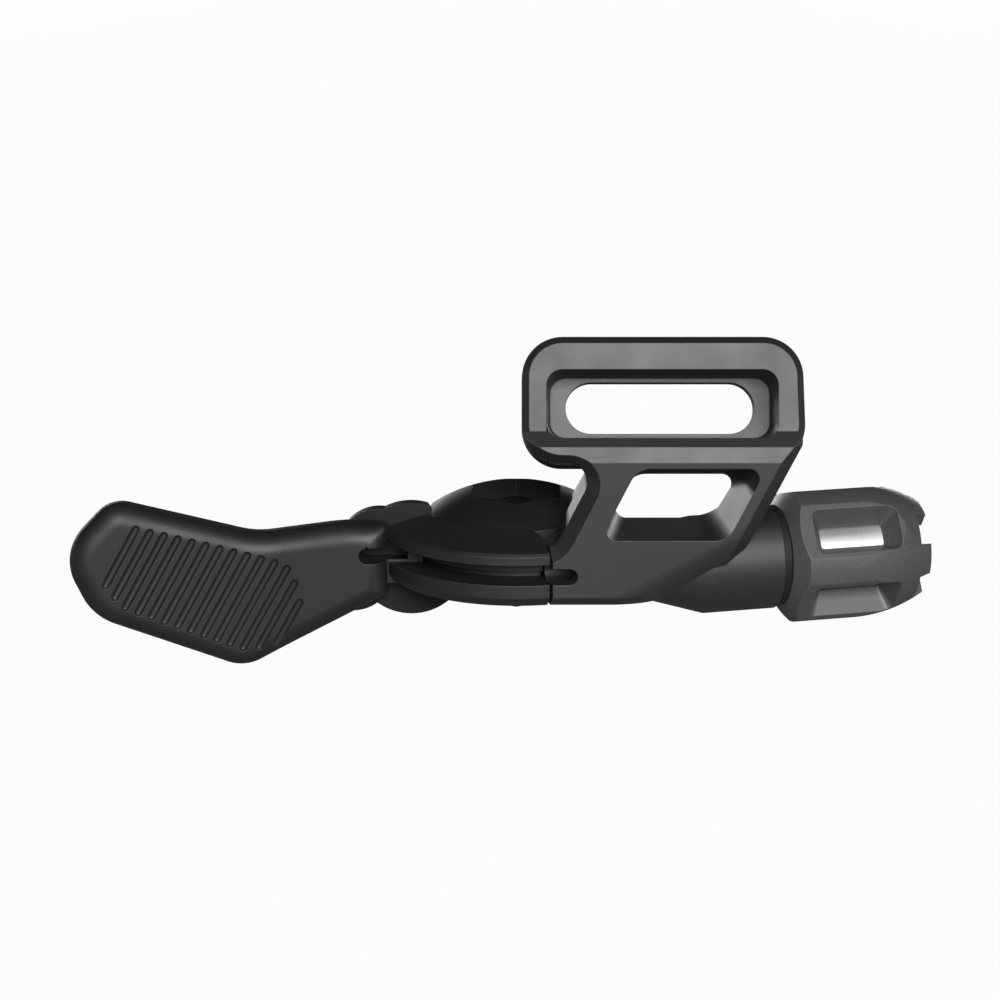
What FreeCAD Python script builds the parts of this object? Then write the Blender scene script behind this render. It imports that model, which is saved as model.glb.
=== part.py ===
"""Dropper post remote lever: a thumb lever on a sealed pivot, a slotted clamp
bracket and a barrel adjuster.  Millimetres, +Z up along the pivot axis, +X along
the clamp slot.  The shapes are laid out from the pivot axis and moved at the end
so that the origin is the middle of the clamp slot on the bracket's seat."""
import math
import os

import FreeCAD
import Part

V = FreeCAD.Vector

# Driving dimensions, bracket
PLATE_WIDTH = 28.2
PLATE_RISE = 6.85
PLATE_DROP = 6.1
PLATE_THICKNESS = 7.0
PLATE_CORNER = 4.1
PLATE_LEAN = 18.0
PLATE_BEVEL = 0.7
PLATE_FLARE = 0.4
PLATE_MID_X = 14.6
PLATE_MID_Y = -11.2
PLATE_MID_Z = 17.0
SLOT_TRAVEL = 14.0
SLOT_WIDTH = 5.25
RECESS_LENGTH = 23.3
RECESS_HEIGHT = 7.0
RECESS_DEPTH = 5.0
RECESS_CORNER = 1.6
RECESS_DRAFT = 0.45
FRONT_Y = -14.0
STRUT_DEPTH = 9.0
STRUT_SLOPE = 0.50
STRUT_WIDTH = 2.6
STRUT_CHAMFER = 1.3
STRUT_GAP = 12.9
LIP_REACH = 7.8
LIP_TOP_Z = 13.1
LIP_RUN = 0.5
LIP_LOW_Z = 11.3
LIP_FRONT_Z = 11.6
WINDOW_LOW_Z = 3.5
WINDOW_TOP_Z = 11.0
WINDOW_CORNER = 1.1
WINDOW_SHRINK = 1.0
WINDOW_INSET = 1.3
BODY_TOP_Z = 2.1
BODY_LOW_Z = -3.5
BODY_CHAMFER = 1.0
TUBE_MEET_X = 16.0
TUBE_MEET_ROUND = 4.0
TONGUE_THICKNESS = 2.1
TONGUE_SPREAD = 40.0

# Driving dimensions, cable line and tube
BARREL_ANGLE = 14.0
CABLE_RADIUS = 12.3
CABLE_Z = -0.3
CABLE_BORE_R = 1.1
CHANNEL_HEIGHT = 1.7
CHANNEL_LENGTH = 2.6
TUBE_R = 5.4
TUBE_END = 23.8
TUBE_START = 16.3
TUBE_NECK_R = 3.6
TUBE_NECK_START = 10.5
TUBE_BORE_R = 4.1
TUBE_BORE_DEPTH = 4.8

# Driving dimensions, pivot
DRUM_R = 14.3
DRUM_CHAMFER = 0.9
DRUM_FLANGE = 1.15
DRUM_GROOVE = 2.1
DRUM_RIB_R = 11.5
DRUM_RIB = 0.7
DRUM_FLOOR_R = 10.6
DRUM_SWEEP = 92.0
DRUM_RISE = 1.4
SPLIT_ROUND = 2.4
HUB_R = 8.6
HUB_SHOULDER = 0.6
HEAD_R = 9.15
HEAD_RIM = 0.7
HEAD_DOME = 2.75
HEAD_SOCKET = 9.2
HEAD_SOCKET_DEPTH = 2.7
AXLE_R = 3.0
BEARING_R = 6.0
BEARING_WIDTH = 3.0
RACE_WALL = 0.95
BALL_R = 0.8
BALL_COUNT = 9
SEAL_THICKNESS = 0.3
CIRCLIP_THICKNESS = 0.5
CIRCLIP_DEPTH = 0.5
SPACER_R = 4.2
WASHER_THICKNESS = 0.6
NUT_ACROSS = 8.0
NUT_HEIGHT = 2.2

# Driving dimensions, lever arm and paddle
ARM_FRONT_Y = -7.2
ARM_THICKNESS = 3.8
ARM_END_X = -13.4
ARM_ROOT = 3.8
ARM_SLOT_LENGTH = 2.9
PADDLE_BEND_X = -27.0
PADDLE_BEND = 12.0
PADDLE_FRONT_ROUND = 2.1
PADDLE_BACK_ROUND = 0.9
GROOVE_COUNT = 14
GROOVE_R = 0.42
GROOVE_DEPTH = 0.36
GROOVE_PITCH = 1.42
GROOVE_SLANT = 29.0
GROOVE_MARGIN = 0.75
RIM_LEVEL = 0.6
PADDLE_CORNERS = [
    (ARM_END_X, 2.9, 0), (-17.25, 3.2, 20.0), (-27.05, 1.9, 8.0), (-41.6, 6.3, 3.2),
    (-46.9, 0.9, 5.2), (-43.8, -6.0, 6.0), (-28.5, -12.6, 4.2), (ARM_END_X, -4.6, 0)]
GRIP_CORNERS = [
    (-40.2, 4.7, 1.2), (-23.0, -0.6, 2.2), (-21.6, -6.6, 2.0), (-24.5, -10.4, 2.0),
    (-28.9, -10.5, 1.5), (-40.8, -5.3, 1.8), (-42.8, -2.3, 1.2)]

# Driving dimensions, cable fixing
FIX_X = -17.2
FIX_Z = -3.3
FIX_PLATE_R = 6.0
FIX_PLATE_THICKNESS = 1.4
FIX_PLATE_SHIFT = 6.2
FIX_PLATE_RISE = 1.9
FIX_EAR_R = 4.2
FIX_EAR_X = 2.9
FIX_EAR_RISE = 3.1
FIX_BOLT_R = 2.0
FIX_BOLT_DEPTH = 2.0
FIX_HEAD_R = 4.2
FIX_HEAD_HEIGHT = 2.8
FIX_SOCKET = 4.0
FIX_SOCKET_DEPTH = 1.8

# Driving dimensions, barrel adjuster
KNOB_R = 7.0
KNOB_FLAT = 6.35
KNOB_LENGTH = 15.1
KNOB_CONE_R = 5.3
KNOB_CONE = 1.3
KNOB_TAPER = 7.0
KNOB_END_R = 5.1
KNOB_RIBS = 5
KNOB_RIB_ANGLE = 36.0
KNOB_NOTCH = 1.3
KNOB_BULGE = 0.45
POCKET_START = 1.9
POCKET_LENGTH = 10.0
POCKET_WIDTH = 5.6
POCKET_ROUND = 0.9
WINDOW_ROUND = 0.3
POCKET_SLOT_INSET = 1.6
POCKET_SLOT_WIDTH = 2.2
STEM_R = 3.0
STEM_COLLAR_R = 4.1
STEM_NOSE_R = 3.4
STEM_START = 12.4
CASING_R = 2.55
CASING_DEPTH = 7.0
INSERT_LENGTH = 2.2
SPRING_WIRE_R = 0.28
SPRING_TURNS = 2.5
CLICK_THICKNESS = 0.7
DUST_SEAL_R = 2.5
DUST_SEAL_WIDTH = 0.9
CLICK_R = 5.2
KNOB_RING_R = 3.8
KNOB_RING_THICKNESS = 0.6

# Named clearances
STOP_GAP = 0.3
RUN_GAP = 0.3
FIT_GAP = 0.02
THREAD_GAP = 0.05
SEAT_GAP = 0.1
OVER = 30.0
SKIN = 0.01

# Heights of the pivot stack, from the tongue's underside down
TONGUE_LOW_Z = RUN_GAP
TONGUE_TOP_Z = TONGUE_LOW_Z + TONGUE_THICKNESS
HEAD_RIM_Z = TONGUE_TOP_Z + HEAD_RIM
HEAD_TOP_Z = HEAD_RIM_Z + HEAD_DOME
HUB_TOP_Z = TONGUE_LOW_Z - RUN_GAP
BEARING_TOP_Z = HUB_TOP_Z - CIRCLIP_THICKNESS
BEARING_LOW_Z = BEARING_TOP_Z - BEARING_WIDTH
BEARING_MID_Z = (BEARING_TOP_Z + BEARING_LOW_Z) / 2
HUB_LOW_Z = BEARING_LOW_Z - HUB_SHOULDER
NUT_TOP_Z = BEARING_LOW_Z - WASHER_THICKNESS
NUT_LOW_Z = NUT_TOP_Z - NUT_HEIGHT
RACE_BORE_R = AXLE_R + FIT_GAP
RACE_INNER_R = RACE_BORE_R + RACE_WALL
RACE_OUTER_R = BEARING_R - RACE_WALL
BALL_PITCH_R = (RACE_INNER_R + RACE_OUTER_R) / 2
TONGUE_CLEAR_R = HEAD_R + RUN_GAP
HUB_CLEAR_R = HUB_R + RUN_GAP
GROOVE_TOP_Z = BODY_TOP_Z - DRUM_FLANGE
GROOVE_LOW_Z = GROOVE_TOP_Z - DRUM_GROOVE
GROOVE_MID_Z = (GROOVE_TOP_Z + GROOVE_LOW_Z) / 2
ARM_BACK_Y = ARM_FRONT_Y + ARM_THICKNESS

# Places along the cable line, from the split to the right
STEM_BORE_R = STEM_R + RUN_GAP
STEM_BORE_START = STEM_START - RUN_GAP
DUST_SEAL_START = STEM_START + DUST_SEAL_WIDTH
DUST_SEAL_END = DUST_SEAL_START + DUST_SEAL_WIDTH
INSERT_START = TUBE_END - TUBE_BORE_DEPTH
INSERT_END = INSERT_START + INSERT_LENGTH
CLICK_START = TUBE_END + SEAT_GAP
KNOB_START = CLICK_START + CLICK_THICKNESS + SEAT_GAP
KNOB_END = KNOB_START + KNOB_LENGTH
STEM_END = KNOB_END - KNOB_NOTCH - 2 * KNOB_RING_THICKNESS
COLLAR_END = KNOB_START + POCKET_START + POCKET_LENGTH - POCKET_SLOT_INSET + RUN_GAP

# Edges of the plate that the lip and the struts follow
PLATE_LEFT_X = PLATE_MID_X - PLATE_WIDTH / 2
STRUT_FOOT_X = PLATE_LEFT_X + LIP_REACH

# Directions: the plate leans back, the cable line turns away to the right
LEAN = math.radians(PLATE_LEAN)
PLATE_OUT = V(0, -math.cos(LEAN), math.sin(LEAN))
PLATE_UP = V(0, math.sin(LEAN), math.cos(LEAN))
PLATE_MID = V(PLATE_MID_X, PLATE_MID_Y, PLATE_MID_Z)
SEAT_MID = PLATE_MID - PLATE_OUT * PLATE_THICKNESS
TURN = math.radians(BARREL_ANGLE)
CABLE_WAY = V(math.cos(TURN), math.sin(TURN), 0)
CABLE_FRONT = V(math.sin(TURN), -math.cos(TURN), 0)
CABLE_START = CABLE_FRONT * CABLE_RADIUS + V(0, 0, CABLE_Z)
BARREL = FreeCAD.Placement(
    CABLE_START, FreeCAD.Rotation(CABLE_FRONT, V(0, 0, -1), CABLE_WAY, "ZXY"))
SPLIT_ANGLE = BARREL_ANGLE - 90.0


def plate_point(u, v, depth=0.0):
    """A point u along the slot, v up the plate and depth behind its face."""
    return PLATE_MID + V(u, 0, 0) + PLATE_UP * v - PLATE_OUT * depth


def front_point(y):
    """A mapping of X and Z onto the upright plane at y."""
    return lambda x, z: V(x, y, z)


def level_point(z):
    """A mapping of X and Y onto the level plane at z."""
    return lambda x, y: V(x, y, z)


def rounded_outline(corners, place):
    """A closed wire through corners given as (u, v, radius)."""
    starts = []
    ends = []
    middles = []
    count = len(corners)
    for index, (u, v, radius) in enumerate(corners):
        here = V(u, v, 0)
        back = V(*corners[index - 1][:2], 0) - here
        ahead = V(*corners[(index + 1) % count][:2], 0) - here
        back.normalize()
        ahead.normalize()
        half = back.getAngle(ahead) / 2
        reach = radius / math.tan(half)
        starts.append(here + back * reach)
        ends.append(here + ahead * reach)
        inward = back + ahead
        if radius:
            inward.normalize()
        middles.append(here + inward * (radius / math.sin(half) - radius))
    edges = []
    for index in range(count):
        start, middle, end = starts[index], middles[index], ends[index]
        if corners[index][2]:
            arc = Part.Arc(place(start.x, start.y), place(middle.x, middle.y), place(end.x, end.y))
            edges.append(arc.toShape())
        follow = starts[(index + 1) % count]
        if (follow - end).Length > SKIN:
            edges.append(Part.makeLine(place(end.x, end.y), place(follow.x, follow.y)))
    return Part.Wire(edges)


def prism(corners, place, way):
    """A solid pulled along way from a rounded outline."""
    return Part.Face(rounded_outline(corners, place)).extrude(way)


def rectangle(width, height, radius):
    """Corners of an upright rounded rectangle."""
    half_u = width / 2
    half_v = height / 2
    return [(-half_u, -half_v, radius), (half_u, -half_v, radius),
            (half_u, half_v, radius), (-half_u, half_v, radius)]


def turned(profile, sweep=360.0, start=0.0):
    """A solid of revolution about Z from (radius, height) points."""
    points = [V(radius, 0, height) for radius, height in profile]
    face = Part.Face(Part.makePolygon(points + points[:1]))
    solid = face.revolve(V(0, 0, 0), V(0, 0, 1), sweep)
    solid.rotate(V(0, 0, 0), V(0, 0, 1), start)
    return solid


def rod(radius, low, high):
    """A round rod along Z from low to high."""
    return Part.makeCylinder(radius, high - low, V(0, 0, low))


def tube(outer, inner, low, high):
    """A round tube along Z from low to high."""
    return rod(outer, low, high).cut(rod(inner, low - SKIN, high + SKIN))


def hexagon(across, low, high):
    """A hexagonal bar along Z with a corner towards -Y."""
    corner = across / math.sqrt(3)
    points = [V(corner * math.sin(math.radians(60 * k)), -corner * math.cos(math.radians(60 * k)), low)
              for k in range(6)]
    return Part.Face(Part.makePolygon(points + points[:1])).extrude(V(0, 0, high - low))


def on_barrel(shape):
    """Lay a shape made along Z onto the cable line."""
    moved = shape.copy()
    moved.Placement = BARREL.multiply(shape.Placement)
    return moved


def edges_where(shape, test):
    """Edges whose two ends and middle all pass the test."""
    found = []
    for edge in shape.Edges:
        middle = edge.valueAt((edge.FirstParameter + edge.LastParameter) / 2)
        points = [vertex.Point for vertex in edge.Vertexes] + [middle]
        if all(test(point) for point in points):
            found.append(edge)
    return found


def strut_line(foot_x, z):
    """X of a slanted strut edge at height z."""
    return foot_x + (z - WINDOW_LOW_Z) * STRUT_SLOPE


def clamp_plate():
    """The leaning plate with its bevelled rim, nut recess and through slot."""
    half = PLATE_WIDTH / 2
    outline = [(-half, -PLATE_DROP, PLATE_CORNER), (half + PLATE_FLARE, -PLATE_DROP, PLATE_CORNER),
               (half, PLATE_RISE, PLATE_CORNER), (-half, PLATE_RISE, PLATE_CORNER)]
    plate = prism(outline, plate_point, PLATE_OUT * -PLATE_THICKNESS)
    rim = edges_where(plate, lambda p: abs((p - PLATE_MID).dot(PLATE_OUT)) < SKIN)
    return plate.makeChamfer(PLATE_BEVEL, rim)


def plate_openings():
    """The drafted nut recess and the slot through its floor."""
    mouth = rounded_outline(rectangle(RECESS_LENGTH, RECESS_HEIGHT, RECESS_CORNER), plate_point)
    floor = rounded_outline(
        rectangle(RECESS_LENGTH - 2 * RECESS_DRAFT, RECESS_HEIGHT - 2 * RECESS_DRAFT, RECESS_CORNER),
        lambda u, v: plate_point(u, v, RECESS_DEPTH))
    recess = Part.makeLoft([mouth, floor], True)
    above = prism(rectangle(RECESS_LENGTH, RECESS_HEIGHT, RECESS_CORNER), plate_point, PLATE_OUT * OVER)
    slot_radius = SLOT_WIDTH / 2 - SKIN
    slot = prism(rectangle(SLOT_TRAVEL + SLOT_WIDTH, SLOT_WIDTH, slot_radius),
                 lambda u, v: plate_point(u, v, -OVER), PLATE_OUT * (-2 * OVER))
    return recess.fuse([above, slot])


def strut_block():
    """Lip, two slanted struts and the body below them, cut from one front outline."""
    left = STRUT_FOOT_X - STRUT_WIDTH - STRUT_CHAMFER
    right = STRUT_FOOT_X + STRUT_GAP + STRUT_WIDTH
    foot_x = strut_line(left, BODY_TOP_Z)
    outline = [
        (PLATE_LEFT_X, LIP_TOP_Z + PLATE_CORNER, 0),
        (PLATE_LEFT_X, LIP_LOW_Z, PLATE_CORNER),
        (strut_line(left, LIP_LOW_Z), LIP_LOW_Z, PLATE_CORNER / 2),
        (foot_x, BODY_TOP_Z, STRUT_WIDTH),
        (foot_x - STRUT_GAP, BODY_TOP_Z, 0),
        (foot_x - STRUT_GAP, BODY_LOW_Z, 0),
        (TUBE_MEET_X, BODY_LOW_Z, 0),
        (strut_line(right, CABLE_Z), CABLE_Z, 0),
        (strut_line(right, LIP_TOP_Z), LIP_TOP_Z, 0),
        (strut_line(right, LIP_TOP_Z), LIP_TOP_Z + PLATE_CORNER, 0)]
    block = prism(outline, front_point(FRONT_Y), V(0, STRUT_DEPTH, 0))
    shoulder = edges_where(
        block, lambda p: abs(p.y - FRONT_Y) < SKIN and p.z < CABLE_Z + SKIN and p.x > TUBE_MEET_X - SKIN)
    block = block.makeFillet(TUBE_MEET_ROUND, shoulder)
    rim = edges_where(block, lambda p: abs(p.y - FRONT_Y) < SKIN and CABLE_Z - SKIN < p.z < LIP_TOP_Z + SKIN)
    block = block.makeChamfer(STRUT_CHAMFER, rim)
    sill = edges_where(block, lambda p: abs(p.y - FRONT_Y) < SKIN and p.z < BODY_LOW_Z + SKIN)
    return block.makeChamfer(BODY_CHAMFER, sill)


def bracket_core():
    """The lip and strut block trimmed to the bracket's side profile."""
    ledge = plate_point(0, (LIP_TOP_Z + STRUT_CHAMFER - PLATE_MID_Z) / math.cos(LEAN))
    back = plate_point(0, -PLATE_DROP, PLATE_THICKNESS)
    back_y = FRONT_Y + STRUT_DEPTH
    side = [
        (FRONT_Y, BODY_LOW_Z, 0), (FRONT_Y, LIP_FRONT_Z, 0), (FRONT_Y + LIP_RUN, LIP_TOP_Z, 0),
        (ledge.y, ledge.z, 0), (back.y, back.z, 0), (back_y, WINDOW_LOW_Z, 0), (back_y, BODY_LOW_Z, 0)]
    return strut_block().common(prism(side, lambda y, z: V(-OVER, y, z), V(3 * OVER, 0, 0)))


def strut_window():
    """The slanted opening between the struts, narrower behind than in front."""
    left = STRUT_FOOT_X
    right = STRUT_FOOT_X + STRUT_GAP
    drop = STRUT_DEPTH * math.tan(LEAN)
    back_y = FRONT_Y + STRUT_DEPTH
    wires = []
    front = (FRONT_Y, 0, 0, WINDOW_TOP_Z)
    rear = (back_y, WINDOW_INSET, WINDOW_SHRINK, WINDOW_TOP_Z - drop)
    for y, inset, shrink, top in (front, rear):
        corners = [
            (strut_line(left, WINDOW_LOW_Z) + inset, WINDOW_LOW_Z, WINDOW_CORNER),
            (strut_line(right, WINDOW_LOW_Z) - shrink, WINDOW_LOW_Z, 2 * WINDOW_CORNER),
            (strut_line(right, top) - shrink, top, WINDOW_CORNER),
            (strut_line(left, top) + inset, top, 2 * WINDOW_CORNER)]
        wires.append(rounded_outline(corners, front_point(y)))
    behind = Part.Face(wires[1]).extrude(V(0, STRUT_DEPTH, 0))
    return Part.makeLoft(wires, True).fuse(behind)


def pivot_tongue():
    """The flat arm that reaches over the lever's hub and carries the pivot bolt."""
    disc = rod(HEAD_R, TONGUE_LOW_Z, TONGUE_TOP_Z)
    back_x = STRUT_FOOT_X + STRUT_WIDTH
    back_y = FRONT_Y + STRUT_DEPTH
    spread = math.radians(TONGUE_SPREAD)
    web = [
        (HEAD_R * math.sin(spread), HEAD_R * math.cos(spread), 0),
        (back_x, back_y, 0), (back_x, FRONT_Y + STRUT_CHAMFER, 0),
        (0, FRONT_Y + STRUT_CHAMFER, 0), (0, 0, 0)]
    return disc.fuse(prism(web, level_point(TONGUE_LOW_Z), V(0, 0, TONGUE_THICKNESS)))


def drum_space(radius, level, edge):
    """The drum's side of the split, clear of a ring round the bolt head above a level."""
    side = Part.makeBox(OVER, OVER, 2 * OVER, V(edge - OVER, -OVER, -OVER))
    side.rotate(V(0, 0, 0), V(0, 0, 1), BARREL_ANGLE)
    corner = CABLE_WAY * edge + CABLE_FRONT * math.sqrt(radius ** 2 - edge ** 2)
    above = side.cut(rod(radius, -2 * OVER, 2 * OVER))
    upright = edges_where(above, lambda p: (V(p.x, p.y, 0) - corner).Length < SKIN)
    above = above.makeFillet(SPLIT_ROUND, upright)
    return above.fuse(side.common(rod(OVER, -OVER, level)))


def bracket():
    """The whole bracket: plate, struts, tongue and cable tube in one piece."""
    barrel = turned([
        (0, TUBE_NECK_START), (TUBE_NECK_R, TUBE_NECK_START), (TUBE_R, TUBE_START),
        (TUBE_R, TUBE_END), (0, TUBE_END)])
    shell = clamp_plate().fuse([bracket_core(), on_barrel(barrel), pivot_tongue()])
    bore = rod(TUBE_BORE_R, INSERT_START, TUBE_END + SKIN).fuse(rod(STEM_BORE_R, STEM_BORE_START, TUBE_END))
    cable_hole = rod(CABLE_BORE_R, -OVER, TUBE_END)
    channel = prism(rectangle(2 * CHANNEL_LENGTH, CHANNEL_HEIGHT, CHANNEL_HEIGHT / 2 - SKIN),
                    lambda u, v: V(0, v, u), V(CABLE_RADIUS, 0, 0))
    hub_room = rod(HUB_CLEAR_R, -OVER, TONGUE_LOW_Z)
    drum_room = drum_space(HEAD_R, TONGUE_LOW_Z, STOP_GAP / 2)
    axle_hole = rod(AXLE_R + SEAT_GAP, -OVER, OVER)
    head_room = rod(TONGUE_CLEAR_R, TONGUE_TOP_Z, HEAD_TOP_Z + RUN_GAP)
    knob_room = rod(KNOB_R + RUN_GAP, TUBE_END, KNOB_END + OVER)
    cuts = [plate_openings(), strut_window(), on_barrel(bore), on_barrel(cable_hole), on_barrel(channel),
            hub_room, drum_room, axle_hole, head_room, on_barrel(knob_room)]
    for tool in cuts:
        shell = shell.cut(tool)
    return shell.removeSplitter()


def dome(radius, low, height):
    """A low spherical cap standing on a round base."""
    sphere = (radius ** 2 + height ** 2) / (2 * height)
    ball = Part.makeSphere(sphere, V(0, 0, low + height - sphere))
    return ball.common(rod(radius, low, low + height + SKIN))


def pivot_bolt():
    """Domed bolt with a wide hexagon socket and a plain shank."""
    head = rod(HEAD_R, TONGUE_TOP_Z, HEAD_RIM_Z).fuse(dome(HEAD_R, HEAD_RIM_Z, HEAD_DOME))
    shank = rod(AXLE_R, NUT_LOW_Z, TONGUE_TOP_Z)
    socket = hexagon(HEAD_SOCKET, HEAD_TOP_Z - HEAD_SOCKET_DEPTH, HEAD_TOP_Z + SKIN)
    return head.fuse(shank).cut(socket).removeSplitter()


def pivot_nut():
    """Low hexagon nut under the washer."""
    hole = rod(RACE_BORE_R, NUT_LOW_Z - SKIN, NUT_TOP_Z + SKIN)
    return hexagon(NUT_ACROSS, NUT_LOW_Z, NUT_TOP_Z).cut(hole)


def bearing_race(outer, inner):
    """A bearing ring with the track in which the balls roll."""
    track = Part.makeTorus(BALL_PITCH_R, BALL_R + FIT_GAP, V(0, 0, BEARING_MID_Z))
    return tube(outer, inner, BEARING_LOW_Z, BEARING_TOP_Z).cut(track)


def bearing_balls():
    """Balls spaced evenly round the bearing."""
    balls = []
    for index in range(BALL_COUNT):
        angle = 2 * math.pi * index / BALL_COUNT
        place = V(BALL_PITCH_R * math.cos(angle), BALL_PITCH_R * math.sin(angle), BEARING_MID_Z)
        balls.append(Part.makeSphere(BALL_R, place))
    return Part.makeCompound(balls)


def bearing_seals():
    """Thin seals on both faces, held by the outer race."""
    outer = RACE_OUTER_R - FIT_GAP
    inner = RACE_INNER_R + FIT_GAP
    return Part.makeCompound([
        tube(outer, inner, BEARING_TOP_Z - SEAL_THICKNESS, BEARING_TOP_Z),
        tube(outer, inner, BEARING_LOW_Z, BEARING_LOW_Z + SEAL_THICKNESS)])


def bearing_circlip():
    """Split ring in the hub's groove above the bearing."""
    outer = BEARING_R + CIRCLIP_DEPTH - FIT_GAP
    ring = tube(outer, BEARING_R - RACE_WALL, BEARING_TOP_Z, HUB_TOP_Z - RUN_GAP / 2)
    gap = Part.makeBox(OVER, 2 * RACE_WALL, OVER, V(0, -RACE_WALL, -OVER / 2))
    return ring.cut(gap)


def drum_sector():
    """Grooved cable drum, turned about the pivot and swept round the front."""
    rib_top = GROOVE_MID_Z + DRUM_RIB / 2
    rib_low = GROOVE_MID_Z - DRUM_RIB / 2
    rise_z = BODY_TOP_Z + DRUM_RISE - RUN_GAP
    rim = [
        (HUB_R / 2, HUB_TOP_Z), (TONGUE_CLEAR_R, HUB_TOP_Z), (TONGUE_CLEAR_R, rise_z),
        (TONGUE_CLEAR_R + RUN_GAP, BODY_TOP_Z + DRUM_RISE), (DRUM_R - RUN_GAP, BODY_TOP_Z),
        (DRUM_R, BODY_TOP_Z - RUN_GAP), (DRUM_R, GROOVE_TOP_Z),
        (DRUM_FLOOR_R, GROOVE_TOP_Z), (DRUM_FLOOR_R, rib_top), (DRUM_RIB_R, rib_top),
        (DRUM_RIB_R, rib_low), (DRUM_FLOOR_R, rib_low), (DRUM_FLOOR_R, GROOVE_LOW_Z),
        (DRUM_R, GROOVE_LOW_Z), (DRUM_R, BODY_LOW_Z + BODY_CHAMFER),
        (DRUM_R - DRUM_CHAMFER, BODY_LOW_Z), (HUB_R / 2, BODY_LOW_Z)]
    space = drum_space(TONGUE_CLEAR_R, HUB_TOP_Z, -STOP_GAP / 2)
    return turned(rim, DRUM_SWEEP, SPLIT_ANGLE - DRUM_SWEEP).common(space)


def bent_layer(front, back):
    """A layer of the bent plate that arm and paddle follow, from front to back of its face."""
    rise = math.tan(math.radians(PADDLE_BEND)) * OVER
    far_x = PADDLE_BEND_X - OVER
    corners = [
        (0, ARM_FRONT_Y + front, 0), (PADDLE_BEND_X, ARM_FRONT_Y + front, OVER),
        (far_x, ARM_FRONT_Y + front - rise, 0), (far_x, ARM_FRONT_Y + back - rise, 0),
        (PADDLE_BEND_X, ARM_FRONT_Y + back, OVER), (0, ARM_FRONT_Y + back, 0)]
    return prism(corners, level_point(-OVER), V(0, 0, 2 * OVER))


def front_cut(corners, depth):
    """A recess of even depth below the bent plate's face."""
    column = prism(corners, front_point(-OVER), V(0, 2 * OVER, 0))
    return column.common(bent_layer(-ARM_THICKNESS, depth))


def paddle_face(point):
    """A point moved onto the bent plate's face, raised so that a groove has its depth."""
    sight = Part.makeLine(V(point.x, -OVER, point.z), V(point.x, OVER, point.z))
    hits = [vertex.Point.y for vertex in sight.common(bent_layer(0, ARM_THICKNESS)).Vertexes]
    return V(point.x, min(hits) - GROOVE_R + GROOVE_DEPTH, point.z)


def paddle_grooves():
    """Slanted grip grooves with round floors, each ending a margin inside the grip field."""
    field = Part.Face(rounded_outline(GRIP_CORNERS, front_point(0)))
    slant = math.radians(GROOVE_SLANT)
    along = V(math.sin(slant), 0, math.cos(slant))
    across = V(math.cos(slant), 0, -math.sin(slant))
    middle = field.CenterOfMass
    grooves = []
    for index in range(GROOVE_COUNT):
        centre = middle + across * (GROOVE_PITCH * (index - (GROOVE_COUNT - 1) / 2))
        line = Part.makeLine(centre - along * OVER, centre + along * OVER).common(field)
        ends = sorted((vertex.Point for vertex in line.Vertexes), key=lambda p: p.z)
        low = paddle_face(ends[0] + along * GROOVE_MARGIN)
        high = paddle_face(ends[-1] - along * GROOVE_MARGIN)
        runner = Part.makeCylinder(GROOVE_R, (high - low).Length, low, high - low)
        grooves.append(runner.fuse([Part.makeSphere(GROOVE_R, low), Part.makeSphere(GROOVE_R, high)]))
    return grooves


def lever_plate():
    """The forged arm and paddle: one outline, bent towards the thumb, with rounded rims."""
    plate = prism(PADDLE_CORNERS, front_point(-OVER), V(0, 2 * OVER, 0))
    plate = plate.common(bent_layer(0, ARM_THICKNESS))
    front = bent_layer(-OVER, SKIN)
    level = [edge for edge in plate.Edges if abs(edge.tangentAt(edge.FirstParameter).y) < RIM_LEVEL]
    front_rim = [edge for edge in level if edge.common(front).Length > SKIN]
    plate = plate.makeFillet(PADDLE_FRONT_ROUND, front_rim)
    back = bent_layer(ARM_THICKNESS - SKIN, OVER)
    back_rim = [edge for edge in plate.Edges
                if edge.common(back).Length > SKIN and edge.CenterOfMass.x < ARM_END_X - SKIN]
    return plate.makeFillet(PADDLE_BACK_ROUND, back_rim)


def lever():
    """Thumb lever: paddle, arm, cable drum and bearing hub in one piece."""
    behind = Part.makeBox(2 * OVER, OVER, 2 * OVER, V(-2 * OVER, ARM_BACK_Y, -OVER))
    root = Part.makeBox(ARM_ROOT, ARM_THICKNESS / 2, BODY_TOP_Z - BODY_LOW_Z,
                        V(ARM_END_X - SEAT_GAP, ARM_BACK_Y - ARM_THICKNESS / 2, BODY_LOW_Z))
    hub = rod(HUB_R, HUB_LOW_Z, HUB_TOP_Z)
    shape = drum_sector().cut(behind).fuse([hub, root]).fuse(lever_plate())
    tongue_room = rod(TONGUE_CLEAR_R, HUB_TOP_Z, OVER)
    bearing_room = rod(BEARING_R + FIT_GAP, BEARING_LOW_Z, OVER)
    hub_hole = rod(RACE_OUTER_R, -OVER, OVER)
    ring_room = rod(BEARING_R + CIRCLIP_DEPTH, BEARING_TOP_Z, HUB_TOP_Z - RUN_GAP / 2)
    half = CHANNEL_HEIGHT / 2
    slot = [(ARM_END_X - ARM_SLOT_LENGTH, GROOVE_MID_Z - half, half - SKIN),
            (ARM_END_X + DRUM_GROOVE, GROOVE_MID_Z - half, 0),
            (ARM_END_X + DRUM_GROOVE, GROOVE_MID_Z + half, 0),
            (ARM_END_X - ARM_SLOT_LENGTH, GROOVE_MID_Z + half, half - SKIN)]
    thread = fixing_line(rod(FIX_BOLT_R + THREAD_GAP, -FIX_BOLT_DEPTH - SEAT_GAP, SKIN))
    cuts = [tongue_room, bearing_room, hub_hole, ring_room, front_cut(slot, ARM_THICKNESS + SKIN), thread]
    for tool in cuts + paddle_grooves():
        shape = shape.cut(tool)
    return shape.removeSplitter()


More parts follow.
